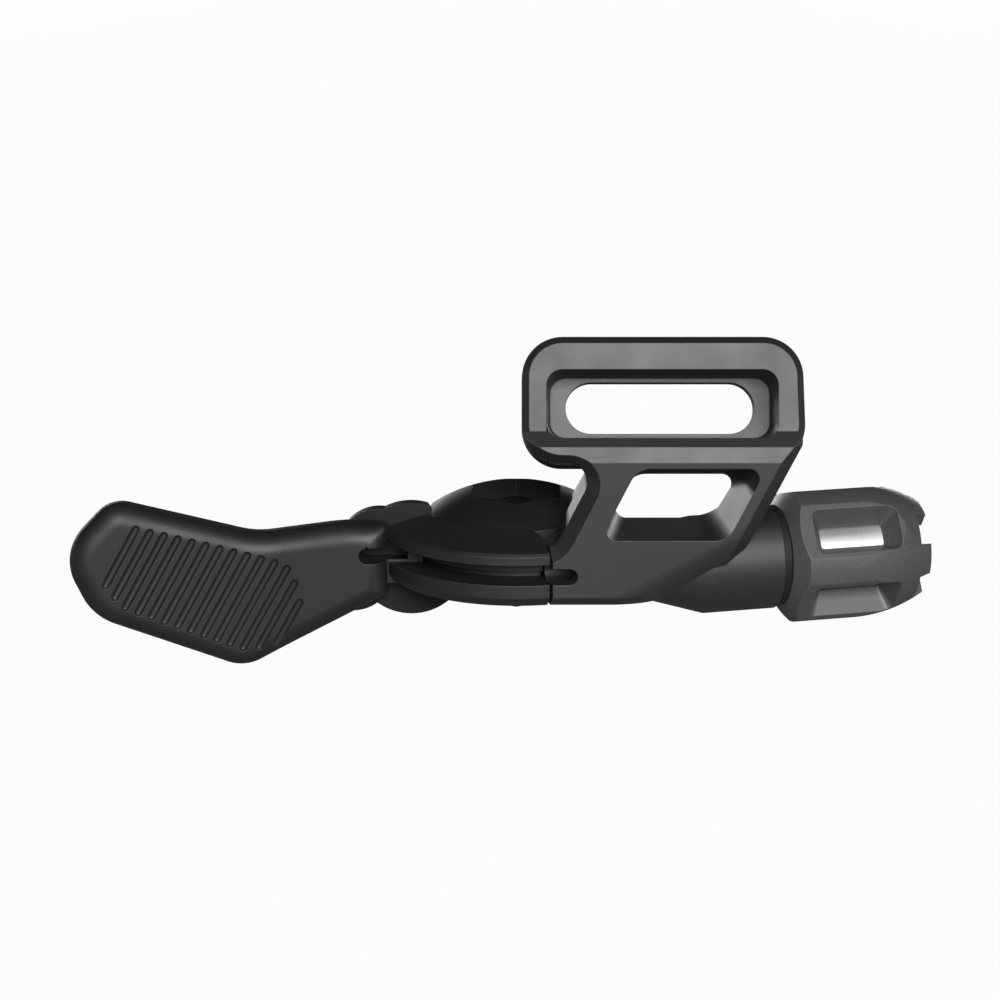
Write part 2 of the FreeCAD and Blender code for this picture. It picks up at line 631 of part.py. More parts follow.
def fixing_line(shape):
    """Lay a shape made along Z onto the cable fixing bolt, out of the arm's back."""
    moved = shape.copy()
    moved.rotate(V(0, 0, 0), V(1, 0, 0), -90)
    moved.translate(V(FIX_X, ARM_BACK_Y, FIX_Z))
    return moved


def cable_fixing_plate():
    """Round clamp plate with an ear, cut away round the pivot."""
    disc = rod(FIX_PLATE_R, 0, FIX_PLATE_THICKNESS)
    disc.translate(V(FIX_PLATE_SHIFT, -FIX_PLATE_RISE, 0))
    ear = rod(FIX_EAR_R, 0, FIX_PLATE_THICKNESS)
    ear.translate(V(FIX_EAR_X, -FIX_EAR_RISE, 0))
    plate = fixing_line(disc.fuse(ear).cut(rod(FIX_BOLT_R + SEAT_GAP, -SKIN, OVER)).removeSplitter())
    return plate.cut(rod(TONGUE_CLEAR_R, HUB_LOW_Z - RUN_GAP, OVER))


def cable_fixing_bolt():
    """Socket-head bolt that clamps the cable under its plate."""
    head_low = FIX_PLATE_THICKNESS
    head_top = head_low + FIX_HEAD_HEIGHT
    bolt = rod(FIX_BOLT_R, -FIX_BOLT_DEPTH, head_low).fuse(rod(FIX_HEAD_R, head_low, head_top))
    return fixing_line(bolt.cut(hexagon(FIX_SOCKET, head_top - FIX_SOCKET_DEPTH, head_top + SKIN)))


def adjuster_stem():
    """Bright threaded barrel with the casing socket in its outer end."""
    body = rod(STEM_R, STEM_START, KNOB_START).fuse([
        rod(STEM_COLLAR_R, KNOB_START, COLLAR_END), rod(STEM_NOSE_R, COLLAR_END, STEM_END)])
    body = body.cut(rod(CABLE_BORE_R, STEM_START - SKIN, STEM_END))
    body = body.cut(tube(STEM_COLLAR_R, DUST_SEAL_R, DUST_SEAL_START, DUST_SEAL_END))
    return on_barrel(body.cut(rod(CASING_R, STEM_END - CASING_DEPTH, STEM_END + SKIN)))


def click_spring():
    """Coil spring between the threaded insert and the click washer."""
    low = INSERT_END + SPRING_WIRE_R
    high = CLICK_START - SPRING_WIRE_R
    radius = (TUBE_BORE_R + STEM_R) / 2
    path = Part.makeHelix((high - low) / SPRING_TURNS, high - low, radius)
    wire = Part.Wire(Part.makeCircle(SPRING_WIRE_R, V(radius, 0, 0), V(0, 1, 0)))
    coil = Part.Wire(path.Edges).makePipeShell([wire], True, True)
    coil.translate(V(0, 0, low))
    return on_barrel(coil)


def knob_body():
    """Turned knob with a cone, a barrel and a rounded taper, flattened to a pentagon between its ribs."""
    taper = KNOB_END - KNOB_TAPER
    corners = [V(KNOB_R, 0, taper), V(KNOB_R, 0, KNOB_START + KNOB_CONE), V(KNOB_CONE_R, 0, KNOB_START),
               V(0, 0, KNOB_START), V(0, 0, KNOB_END), V(KNOB_END_R, 0, KNOB_END)]
    middle = V((KNOB_R + KNOB_END_R) / 2 + KNOB_BULGE, 0, (taper + KNOB_END) / 2)
    nose = Part.Arc(corners[-1], middle, corners[0]).toShape()
    outline = Part.Wire(Part.makePolygon(corners).Edges + [nose])
    barrel = Part.Face(outline).revolve(V(0, 0, 0), V(0, 0, 1), 360)
    corner_r = KNOB_FLAT / math.cos(math.pi / KNOB_RIBS)
    ring = [V(corner_r * math.cos(angle), corner_r * math.sin(angle), KNOB_START - SKIN)
            for angle in (2 * math.pi * k / KNOB_RIBS for k in range(KNOB_RIBS))]
    bar = Part.Face(Part.makePolygon(ring + ring[:1])).extrude(V(0, 0, KNOB_LENGTH + 2 * SKIN))
    return barrel.common(bar)


def knob_pocket():
    """One tapered pocket and the window through to the stem."""
    mouth = (KNOB_R, 0, POCKET_WIDTH, POCKET_ROUND)
    window = (STEM_COLLAR_R, POCKET_SLOT_INSET, POCKET_SLOT_WIDTH, WINDOW_ROUND)
    wires = []
    for reach, inset, width, corner in (mouth, window):
        half = width / 2
        low = KNOB_START + POCKET_START + inset
        high = low + POCKET_LENGTH - 2 * inset
        corners = [(-half, low, corner), (half, low, corner), (half, high, corner), (-half, high, corner)]
        wires.append(rounded_outline(corners, lambda u, v, reach=reach: V(reach, u, v)))
    inner = Part.Face(wires[1]).extrude(V(-RACE_WALL, 0, 0))
    return Part.makeLoft(wires, True).fuse(inner)


def adjuster_knob():
    """Ribbed knob with pockets between the ribs and a castellated end."""
    knob = knob_body()
    step = 360.0 / KNOB_RIBS
    low = KNOB_END - KNOB_NOTCH
    notch = [(STEM_R, low), (2 * KNOB_R, low), (2 * KNOB_R, KNOB_END + SKIN), (STEM_R, KNOB_END + SKIN)]
    for index in range(KNOB_RIBS):
        knob = knob.cut(turned(notch, step - KNOB_RIB_ANGLE, index * step + KNOB_RIB_ANGLE / 2))
        pocket = knob_pocket()
        pocket.rotate(V(0, 0, 0), V(0, 0, 1), (index + 0.5) * step)
        knob = knob.cut(pocket)
    knob = knob.cut(rod(STEM_COLLAR_R + FIT_GAP, KNOB_START - SKIN, COLLAR_END + FIT_GAP))
    knob = knob.cut(rod(STEM_NOSE_R + FIT_GAP, KNOB_START, KNOB_END + SKIN))
    groove = rod(KNOB_RING_R + FIT_GAP, STEM_END, STEM_END + KNOB_RING_THICKNESS)
    return on_barrel(knob.cut(groove).removeSplitter())


def on_barrel_tube(outer, inner, low, high):
    """A maker of a plain tube on the cable line."""
    return lambda: on_barrel(tube(outer, inner, low, high))


NODES = {
    "bracket": bracket,
    "pivot_bolt": pivot_bolt,
    "pivot_spacer": lambda: tube(SPACER_R, RACE_BORE_R, BEARING_TOP_Z, TONGUE_LOW_Z),
    "pivot_washer": lambda: tube(SPACER_R, RACE_BORE_R, NUT_TOP_Z, BEARING_LOW_Z),
    "pivot_nut": pivot_nut,
    "bearing_inner_race": lambda: bearing_race(RACE_INNER_R, RACE_BORE_R),
    "bearing_outer_race": lambda: bearing_race(BEARING_R, RACE_OUTER_R),
    "bearing_balls": bearing_balls,
    "bearing_seals": bearing_seals,
    "bearing_circlip": bearing_circlip,
    "lever": lever,
    "cable_fixing_plate": cable_fixing_plate,
    "cable_fixing_bolt": cable_fixing_bolt,
    "adjuster_insert": on_barrel_tube(TUBE_BORE_R - FIT_GAP, STEM_R + THREAD_GAP, INSERT_START, INSERT_END),
    "click_spring": click_spring,
    "click_washer": on_barrel_tube(CLICK_R, STEM_R + SEAT_GAP, CLICK_START, CLICK_START + CLICK_THICKNESS),
    "adjuster_stem": adjuster_stem,
    "dust_seal": on_barrel_tube(STEM_BORE_R - THREAD_GAP, DUST_SEAL_R, DUST_SEAL_START, DUST_SEAL_END),
    "adjuster_knob": adjuster_knob,
    "knob_ring": on_barrel_tube(KNOB_RING_R, CASING_R + SEAT_GAP, STEM_END, STEM_END + KNOB_RING_THICKNESS),
}

os.makedirs("parts", exist_ok=True)
for name, make in NODES.items():
    shape = make()
    shape.translate(-SEAT_MID)
    shape.exportStep("parts/" + name + ".step")
    print(name, len(shape.Solids), shape.isValid(), round(shape.Volume, 1))
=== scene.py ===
# %% [markdown]
# # Dropper post remote lever
#
# A small thumb lever that sits beside a handlebar grip.  Pressing the grooved paddle turns a
# cable drum on a sealed bearing and pulls a cable through the barrel adjuster on the right.
# The solids come ready made and stay where they are, so this lesson is about dressing them:
# edges that catch the light, finishes with grain, small parts that repeat, and a plain studio.

# %% Load the solids
import math

import bmesh
import bpy
from mathutils import Matrix, Vector
from mathutils.bvhtree import BVHTree


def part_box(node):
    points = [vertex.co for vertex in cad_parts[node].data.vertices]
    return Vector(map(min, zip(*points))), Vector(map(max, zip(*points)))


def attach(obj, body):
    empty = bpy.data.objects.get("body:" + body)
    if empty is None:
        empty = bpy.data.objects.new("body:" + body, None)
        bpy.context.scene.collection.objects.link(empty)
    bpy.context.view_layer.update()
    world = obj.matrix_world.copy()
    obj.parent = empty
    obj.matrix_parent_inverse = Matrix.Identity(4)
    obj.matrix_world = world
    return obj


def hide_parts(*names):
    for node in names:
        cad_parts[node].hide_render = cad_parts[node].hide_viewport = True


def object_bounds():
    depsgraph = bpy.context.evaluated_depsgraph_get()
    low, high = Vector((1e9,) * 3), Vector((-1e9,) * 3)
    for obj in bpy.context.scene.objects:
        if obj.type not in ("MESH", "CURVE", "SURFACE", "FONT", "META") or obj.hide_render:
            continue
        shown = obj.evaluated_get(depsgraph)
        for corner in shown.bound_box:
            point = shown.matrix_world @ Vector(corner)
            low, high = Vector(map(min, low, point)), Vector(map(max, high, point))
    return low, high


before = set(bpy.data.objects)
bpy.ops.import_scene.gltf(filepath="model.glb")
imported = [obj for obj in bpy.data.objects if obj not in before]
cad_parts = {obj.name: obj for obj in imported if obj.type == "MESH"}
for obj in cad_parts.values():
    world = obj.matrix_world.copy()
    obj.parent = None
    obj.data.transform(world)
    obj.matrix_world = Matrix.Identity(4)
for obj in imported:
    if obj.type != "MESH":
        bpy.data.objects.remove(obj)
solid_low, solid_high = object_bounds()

MM = 0.001
scene = bpy.context.scene
print("solids", len(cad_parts), "box in mm",
      [round((high - low) / MM, 1) for low, high in zip(solid_low, solid_high)])

# %% [markdown]
# ## Shared effects
#
# The black alloy pieces were blasted before they were anodised, so their surface is not one
# grey: it has tiny pits, and broad patches that are a little smoother where hands have rubbed
# it.  A picture could carry this, but it would stretch on the curved drum.  Noise read from the
# piece's own coordinates has the same size everywhere, so it is built once as a node group and
# placed in each finish with its own values.


# %% Helpers that add nodes and groups
def add_node(tree, kind, **settings):
    """Add a node and set its plain settings."""
    node = tree.nodes.new(kind)
    for key, value in settings.items():
        setattr(node, key, value)
    return node


def new_group(kind, name, inputs, outputs):
    """A node group with named sockets: inputs as (name, kind, value), outputs as (name, kind)."""
    tree = bpy.data.node_groups.new(name, kind)
    for label, socket_kind, value in inputs:
        socket = tree.interface.new_socket(label, in_out="INPUT", socket_type=socket_kind)
        socket.default_value = value
    for label, socket_kind in outputs:
        tree.interface.new_socket(label, in_out="OUTPUT", socket_type=socket_kind)
    return tree, tree.nodes.new("NodeGroupInput"), tree.nodes.new("NodeGroupOutput")


def multiplied(tree, first, second):
    """The product of two sockets."""
    product = add_node(tree, "ShaderNodeMath", operation="MULTIPLY")
    tree.links.new(first, product.inputs[0])
    tree.links.new(second, product.inputs[1])
    return product.outputs[0]


# %% Blasted grain
def build_blasted_grain():
    """Fine pits for colour and bump."""
    tree, given, result = new_group(
        "ShaderNodeTree", "blasted_grain",
        [("Pit Scale", "NodeSocketFloat", 9000.0), ("Depth", "NodeSocketFloat", 0.5)],
        [("Grain", "NodeSocketFloat"), ("Height", "NodeSocketFloat")])
    where = add_node(tree, "ShaderNodeTexCoord")
    pits = add_node(tree, "ShaderNodeTexNoise")
    pits.inputs["Detail"].default_value = 3.0
    pits.inputs["Roughness"].default_value = 0.65
    tree.links.new(where.outputs["Object"], pits.inputs["Vector"])
    tree.links.new(given.outputs["Pit Scale"], pits.inputs["Scale"])
    tree.links.new(pits.outputs["Fac"], result.inputs["Grain"])
    deep = multiplied(tree, pits.outputs["Fac"], given.outputs["Depth"])
    tree.links.new(deep, result.inputs["Height"])
    return tree


blasted_grain = build_blasted_grain()
print("group", blasted_grain.name, "pits about 0.1 mm apart")


# %% Rubbed patches
def build_rubbed_patches():
    """Broad soft patches, a few millimetres wide, between two roughnesses."""
    tree, given, result = new_group(
        "ShaderNodeTree", "rubbed_patches",
        [("Patch Scale", "NodeSocketFloat", 160.0), ("Low", "NodeSocketFloat", 0.4),
         ("High", "NodeSocketFloat", 0.5)],
        [("Roughness", "NodeSocketFloat")])
    where = add_node(tree, "ShaderNodeTexCoord")
    cloud = add_node(tree, "ShaderNodeTexNoise")
    cloud.inputs["Detail"].default_value = 4.0
    tree.links.new(where.outputs["Object"], cloud.inputs["Vector"])
    tree.links.new(given.outputs["Patch Scale"], cloud.inputs["Scale"])
    spread = add_node(tree, "ShaderNodeMapRange")
    spread.inputs["From Min"].default_value = 0.3
    spread.inputs["From Max"].default_value = 0.7
    tree.links.new(cloud.outputs["Fac"], spread.inputs["Value"])
    tree.links.new(given.outputs["Low"], spread.inputs["To Min"])
    tree.links.new(given.outputs["High"], spread.inputs["To Max"])
    tree.links.new(spread.outputs["Result"], result.inputs["Roughness"])
    return tree


rubbed_patches = build_rubbed_patches()
print("group", rubbed_patches.name, "patches about 6 mm wide")

# %% [markdown]
# A machined edge is never knife sharp: it has a tiny break that shows as a thin bright line.
# A Bevel modifier could cut it, but on solids with this many curved seams it tears small faces.
# The Bevel shader node rounds the light at the edge instead and leaves the shape alone.  How far
# its normal turns away from the true one also tells where an edge is, and edges rub bright first.


# %% Broken edges
EDGE_ROUND = 0.12 * MM
EDGE_STARTS, EDGE_FULL = 0.995, 0.90


def build_broken_edge():
    """A normal that is rounded near edges, and a mask that is 1 on them."""
    tree, given, result = new_group(
        "ShaderNodeTree", "broken_edge",
        [("Radius", "NodeSocketFloat", EDGE_ROUND)],
        [("Normal", "NodeSocketVector"), ("Edge", "NodeSocketFloat")])
    round_off = add_node(tree, "ShaderNodeBevel", samples=6)
    tree.links.new(given.outputs["Radius"], round_off.inputs["Radius"])
    true_way = add_node(tree, "ShaderNodeNewGeometry")
    agree = add_node(tree, "ShaderNodeVectorMath", operation="DOT_PRODUCT")
    tree.links.new(round_off.outputs["Normal"], agree.inputs[0])
    tree.links.new(true_way.outputs["Normal"], agree.inputs[1])
    mask = add_node(tree, "ShaderNodeMapRange")
    mask.inputs["From Min"].default_value = EDGE_STARTS
    mask.inputs["From Max"].default_value = EDGE_FULL
    tree.links.new(agree.outputs["Value"], mask.inputs["Value"])
    tree.links.new(round_off.outputs["Normal"], result.inputs["Normal"])
    tree.links.new(mask.outputs["Result"], result.inputs["Edge"])
    return tree


broken_edge = build_broken_edge()
print("group", broken_edge.name, "rounds at mm", round(EDGE_ROUND / MM, 3))

# %% [markdown]
# Turned pieces keep the fine rings that the lathe tool left.  Rings run round the piece's own
# axis, so each one lies at one distance along that axis: the group takes the axis direction and
# reads noise in one dimension along it, which gives rings on any turned piece, however it lies.


# %% Turned rings
def build_turned_rings():
    """Fine rings round an axis: noise in one dimension along the axis direction."""
    tree, given, result = new_group(
        "ShaderNodeTree", "turned_rings",
        [("Along", "NodeSocketVector", (1.0, 0.0, 0.0)), ("Ring Scale", "NodeSocketFloat", 9000.0),
         ("Depth", "NodeSocketFloat", 0.3)],
        [("Ring", "NodeSocketFloat"), ("Height", "NodeSocketFloat")])
    where = add_node(tree, "ShaderNodeTexCoord")
    reach = add_node(tree, "ShaderNodeVectorMath", operation="DOT_PRODUCT")
    tree.links.new(where.outputs["Object"], reach.inputs[0])
    tree.links.new(given.outputs["Along"], reach.inputs[1])
    lathe = add_node(tree, "ShaderNodeTexNoise", noise_dimensions="1D")
    lathe.inputs["Detail"].default_value = 2.0
    tree.links.new(reach.outputs["Value"], lathe.inputs["W"])
    tree.links.new(given.outputs["Ring Scale"], lathe.inputs["Scale"])
    tree.links.new(lathe.outputs["Fac"], result.inputs["Ring"])
    deep = multiplied(tree, lathe.outputs["Fac"], given.outputs["Depth"])
    tree.links.new(deep, result.inputs["Height"])
    return tree


turned_rings = build_turned_rings()
print("group", turned_rings.name)

# %% [markdown]
# ## Finishes
#
# The bracket and the lever are black anodised alloy, the bolts are black oxide steel, the knob
# is a little paler, and the barrel inside it is bright turned alloy.  Black is the hard one:
# most of what shows is the light on it, so the greys stay low and the roughness does the work.
# One maker of finishes serves them all, because they differ only in their values.


# %% A maker of finishes
RUBBED_GAIN = 0.08
BUMP_STRENGTH = 0.25
BUMP_DISTANCE = 0.02 * MM
COLOUR_FACTOR, COLOUR_A, COLOUR_B, COLOUR_RESULT = 0, 6, 7, 2


def two_greys(tree, source, dark, pale):
    """A ramp between two greys, driven by a value."""
    tint = add_node(tree, "ShaderNodeValToRGB")
    tint.color_ramp.elements[0].position = 0.3
    tint.color_ramp.elements[0].color = (*dark, 1.0)
    tint.color_ramp.elements[1].position = 0.75
    tint.color_ramp.elements[1].color = (*pale, 1.0)
    tree.links.new(source, tint.inputs["Fac"])
    return tint.outputs["Color"]


def finish(name, dark, pale, worn, rough, metal=0.0, gloss=0.5,
           along=None, pits=9000.0, depth=0.5):
    """A finish between two greys, worn to a third on edges, grained or, with an axis, turned."""
    material = bpy.data.materials.new(name)
    material.use_nodes = True
    tree = material.node_tree
    skin = tree.nodes["Principled BSDF"]
    skin.inputs["Metallic"].default_value = metal
    skin.inputs["Specular IOR Level"].default_value = gloss
    if along:
        fine = add_node(tree, "ShaderNodeGroup", node_tree=turned_rings)
        fine.inputs["Along"].default_value = along
        value = fine.outputs["Ring"]
    else:
        fine = add_node(tree, "ShaderNodeGroup", node_tree=blasted_grain)
        fine.inputs["Pit Scale"].default_value = pits
        value = fine.outputs["Grain"]
    fine.inputs["Depth"].default_value = depth
    rim = add_node(tree, "ShaderNodeGroup", node_tree=broken_edge)
    patch = add_node(tree, "ShaderNodeGroup", node_tree=rubbed_patches)
    patch.inputs["Low"].default_value = rough
    patch.inputs["High"].default_value = rough + RUBBED_GAIN
    rubbed = add_node(tree, "ShaderNodeMix", data_type="RGBA")
    rubbed.inputs[COLOUR_B].default_value = (*worn, 1.0)
    tree.links.new(rim.outputs["Edge"], rubbed.inputs[COLOUR_FACTOR])
    tree.links.new(two_greys(tree, value, dark, pale), rubbed.inputs[COLOUR_A])
    tree.links.new(rubbed.outputs[COLOUR_RESULT], skin.inputs["Base Color"])
    tree.links.new(patch.outputs["Roughness"], skin.inputs["Roughness"])
    bump = add_node(tree, "ShaderNodeBump")
    bump.inputs["Strength"].default_value = BUMP_STRENGTH
    bump.inputs["Distance"].default_value = BUMP_DISTANCE
    tree.links.new(fine.outputs["Height"], bump.inputs["Height"])
    tree.links.new(rim.outputs["Normal"], bump.inputs["Normal"])
    tree.links.new(bump.outputs["Normal"], skin.inputs["Normal"])
    return material


def grey(value):
    """The same value for red, green and blue."""
    return (value, value, value)


# %% Blasted finishes
anodised_bracket = finish("anodised_bracket", grey(0.010), grey(0.020), grey(0.060),
                          rough=0.49, gloss=1.0)
anodised_lever = finish("anodised_lever", grey(0.008), grey(0.016), grey(0.044),
                        rough=0.50, gloss=0.75)
moulded_knob = finish("moulded_knob", grey(0.064), grey(0.100), grey(0.140),
                      rough=0.42, gloss=0.95, pits=5000.0, depth=0.8)
soft_seal = finish("soft_seal", grey(0.016), grey(0.030), grey(0.036),
                   rough=0.65, pits=6000.0, depth=0.6)
blasted = (anodised_bracket, anodised_lever, moulded_knob, soft_seal)
print("blasted finishes", [material.name for material in blasted])

# %% Turned finishes
BARREL_WAY = (0.9702957, 0.2419219, 0.0)
PIVOT_WAY = (0.0, 0.0, 1.0)
bright_barrel = finish("bright_barrel", grey(0.70), grey(0.82), grey(0.90),
                       rough=0.44, metal=1.0, along=BARREL_WAY, depth=0.1)
black_bolt = finish("black_bolt", grey(0.008), grey(0.016), grey(0.040),
                    rough=0.46, gloss=0.60, along=PIVOT_WAY)
dull_washer = finish("dull_washer", grey(0.008), grey(0.014), grey(0.024),
                     rough=0.60, gloss=0.4, along=PIVOT_WAY)
ground_steel = finish("ground_steel", grey(0.42), grey(0.60), grey(0.70),
                      rough=0.20, metal=1.0, along=PIVOT_WAY)
brass_bush = finish("brass_bush", (0.55, 0.38, 0.14), (0.72, 0.52, 0.22), (0.80, 0.62, 0.32),
                    rough=0.26, metal=1.0, along=BARREL_WAY)
turned = (bright_barrel, black_bolt, dull_washer, ground_steel, brass_bush)
print("turned finishes", [material.name for material in turned])

# %% [markdown]
# ## Smooth copies of the solids
#
# A solid arrives as triangles, so its round faces can look cut like a gem.  Changing it is not
# allowed, but a copy may stand in for it: the copy is merged, its stored normals are dropped, it
# is shaded smooth except at edges, and large flat faces get the last word on the shading next
# to them.  The sharp angle is small, because the lip under the clamp plate has shallow steps.


# %% Copy and dress a solid
SHARP = math.radians(15)
SAME_POINT = 0.0005 * MM
FLAT_FACE_WEIGHT = 80


def merged_copy(node, name):
    """A copy of a solid's mesh with its points joined and its stored normals dropped."""
    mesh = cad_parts[node].data.copy()
    mesh.name = name
    if "custom_normal" in mesh.attributes:
        mesh.attributes.remove(mesh.attributes["custom_normal"])
    work = bmesh.new()
    work.from_mesh(mesh)
    bmesh.ops.remove_doubles(work, verts=work.verts, dist=SAME_POINT)
    work.to_mesh(mesh)
    work.free()
    return mesh


def dressed(mesh, node, body, skin):
    """A smoothly shaded piece of a mesh, standing in for a solid on the same body."""
    for face in mesh.polygons:
        face.use_smooth = True
        face.material_index = 0
    mesh.set_sharp_from_angle(angle=SHARP)
    mesh.materials.clear()
    mesh.materials.append(skin)
    piece = bpy.data.objects.new(mesh.name, mesh)
    scene.collection.objects.link(piece)
    shading = piece.modifiers.new("flat_faces_lead", "WEIGHTED_NORMAL")
    shading.keep_sharp = True
    shading.weight = FLAT_FACE_WEIGHT
    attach(piece, body)
    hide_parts(node)
    print(piece.name, "faces", len(mesh.polygons))


# %% [markdown]
# ### The bracket
#
# The bracket is one machined piece: the leaning clamp plate, the lip under it, two slanted
# struts and the cable tube.  The room that the drum needs was cut a little too high in the
# solid, so it also took a thin wedge off the plate's left end, which the real one has.  The wedge
# could be put back point by point, but three blocks hewn by planes and joined to the copy are
# surer: a bevelled plate end is only the space inside a few dozen planes.


# %% Hew a block by planes
PIVOT = Vector((-14.6, 4.5426, -14.8369))
ARC_CUTS = 10
INSET = 0.003
ON_PLANE = 1e-5


def hewn(name, low, high, planes):
    """A block between two corners, cut by planes: a point and an outward direction each, in mm."""
    work = bmesh.new()
    bmesh.ops.create_cube(work, size=1.0)
    for vert in work.verts:
        vert.co = Vector([low[i] + (high[i] - low[i]) * (vert.co[i] + 0.5) for i in range(3)])
    for point, way in planes:
        everything = list(work.verts) + list(work.edges) + list(work.faces)
        bmesh.ops.bisect_plane(work, geom=everything, dist=ON_PLANE,
                               plane_co=point, plane_no=way, clear_outer=True)
        rim = [edge for edge in work.edges if edge.is_boundary]
        if rim:
            bmesh.ops.contextual_create(work, geom=rim)
    bmesh.ops.recalc_face_normals(work, faces=work.faces)
    bmesh.ops.triangulate(work, faces=work.faces)
    mesh = bpy.data.meshes.new(name)
    work.to_mesh(mesh)
    work.free()
    mesh.transform(Matrix.Translation(PIVOT * MM) @ Matrix.Scale(MM, 4))
    return mesh


def rim_planes(middle, across, up, front, corners, chamfer):
    """Side and chamfer planes of an outline with corners as (u, v, radius, start, end)."""
    planes = []
    for u, v, radius, start, end in corners:
        centre = middle + across * u + up * v
        for step in range(ARC_CUTS + 1):
            turn = math.radians(start + (end - start) * step / ARC_CUTS)
            way = across * math.cos(turn) + up * math.sin(turn)
            planes.append((centre + way * (radius - INSET), way))
            slope = (way + front).normalized()
            planes.append((centre + way * (radius - chamfer - INSET), slope))
    return planes


# %% The plate's end
ACROSS = Vector((1.0, 0.0, 0.0))
UP = Vector((0.0, 0.0, 1.0))
FRONT = Vector((0.0, -1.0, 0.0))
CORNER = 4.1
PLATE_LEAN = math.radians(18.0)
PLATE_BEVEL = 0.7
PLATE_BEHIND = 6.0
RECESS_HALF = 11.65
RECESS_DEPTH, RECESS_DRAFT = 5.0, 0.45
plate_up = Vector((0.0, math.sin(PLATE_LEAN), math.cos(PLATE_LEAN)))
plate_front = Vector((0.0, -math.cos(PLATE_LEAN), math.sin(PLATE_LEAN)))
plate_mid = Vector((14.6, -11.2, 17.0))
plate_corners = [(-10.0, 2.75, CORNER, 90, 180), (-10.0, -2.0, CORNER, 180, 270)]
plate_planes = rim_planes(plate_mid, ACROSS, plate_up, plate_front, plate_corners, PLATE_BEVEL)
recess_wall = (ACROSS * RECESS_DEPTH + plate_front * RECESS_DRAFT).normalized()
plate_planes += [(plate_mid - plate_front * INSET, plate_front),
                 (plate_mid - plate_front * PLATE_BEHIND, -plate_front),
                 (plate_mid - ACROSS * (RECESS_HALF + INSET), recess_wall)]
plate_end = hewn("plate_end", (-1, -20, 5), (5, 0, 26), plate_planes)
print("plate end faces", len(plate_end.polygons))

# %% The lip's end
LIP_BEVEL = 1.3
LIP_FRONT = -14.0
lip_corners = [(4.6, 15.4, CORNER, 180, 270)]
lip_planes = rim_planes(Vector((0.0, LIP_FRONT, 0.0)), ACROSS, UP, FRONT, lip_corners, LIP_BEVEL)
LIP_STEPS = [
    ((0, LIP_FRONT + INSET, 11), (0, -1, 0)), ((0, LIP_FRONT + INSET, 11.6), (0, -1.5, 0.5)),
    ((0, -13.5 + INSET, 13.1), (0, -1.3, 1.455)), ((0, -12.045, 14.4), (0, 5.365, 5.617))]
lip_planes += [(Vector(point), Vector(way).normalized()) for point, way in LIP_STEPS]
CORNER_ACROSS, CORNER_DOWN = 11.18, 3.03
corner_point = plate_mid - ACROSS * CORNER_ACROSS - plate_up * (CORNER_DOWN + INSET)
recess_corner = (corner_point, (ACROSS + plate_up).normalized())
lip_low = hewn("lip_low", (-1, -15, 9), (3.66, -8, 16), lip_planes + [recess_corner])
lip_high = hewn("lip_high", (-1, -15, 9), (2.95 - INSET, -8, 16), lip_planes)
print("lip end faces", len(lip_low.polygons), len(lip_high.polygons))


# %% Join the ends to the bracket
def joined(mesh, blocks):
    """One closed mesh of a mesh and the blocks that overlap it."""
    host = bpy.data.objects.new(mesh.name, mesh)
    scene.collection.objects.link(host)
    helpers = []
    for block in blocks:
        helper = bpy.data.objects.new(block.name, block)
        scene.collection.objects.link(helper)
        helpers.append(helper)
        union = host.modifiers.new(block.name, "BOOLEAN")
        union.operation = "UNION"
        union.solver = "EXACT"
        union.object = helper
    ready = host.evaluated_get(bpy.context.evaluated_depsgraph_get())
    whole = bpy.data.meshes.new_from_object(ready)
    name = mesh.name
    for spare in [host] + helpers:
        spare_mesh = spare.data
        bpy.data.objects.remove(spare)
        bpy.data.meshes.remove(spare_mesh)
    whole.name = name
    return whole


bracket_mesh = joined(merged_copy("bracket", "clamp_bracket"), [plate_end, lip_low, lip_high])
dressed(bracket_mesh, "bracket", "bracket", anodised_bracket)

# %% [markdown]
# ### The lever, the bolts and the adjuster
#
# These solids have the right shape, so their copies only need a finish.  The lever was forged
# and blasted, the pivot cap and the small clamp screw were turned, and the knob was moulded.

# %% Dress the other outer pieces
OUTER = [
    ("lever", "thumb_lever", "lever", "lever_black", anodised_lever),
    ("pivot_bolt", "pivot_cap", "bracket", "bolt_black", black_bolt),
    ("cable_fixing_plate", "clamp_disc", "lever", "bolt_black", dull_washer),
    ("cable_fixing_bolt", "clamp_screw", "lever", "bolt_black", black_bolt),
    ("adjuster_knob", "barrel_knob", "knob", "knob_black", moulded_knob),
    ("adjuster_stem", "barrel_stem", "knob", "bright_alloy", bright_barrel),
    ("click_washer", "click_ring", "click", "knob_black", dull_washer)]
for node, name, body, slot, skin in OUTER:
    dressed(merged_copy(node, name), node, body, skin)

# %% [markdown]
# ## Parts that repeat: the bearing balls
#
# The lever turns on a cartridge bearing with nine balls in a ring.  Nine spheres could be placed
# one by one, but a rule says it better: one ball on each point of a circle.  Geometry Nodes hold
# that rule with named sizes, and the result is turned into a plain mesh on the bearing's axis.


# %% A host for geometry trees
def grown(tree, name, sizes):
    """An object with the plain mesh that a tree gives for these sizes."""
    piece = bpy.data.objects.new(name, bpy.data.meshes.new(name + "_seed"))
    scene.collection.objects.link(piece)
    growth = piece.modifiers.new(name, "NODES")
    growth.node_group = tree
    for item in tree.interface.items_tree:
        if item.in_out == "INPUT":
            growth[item.identifier] = sizes[item.name]
    ready = piece.evaluated_get(bpy.context.evaluated_depsgraph_get())
    mesh = bpy.data.meshes.new_from_object(ready)
    piece.modifiers.remove(growth)
    piece.data = mesh
    mesh.name = name
    return piece


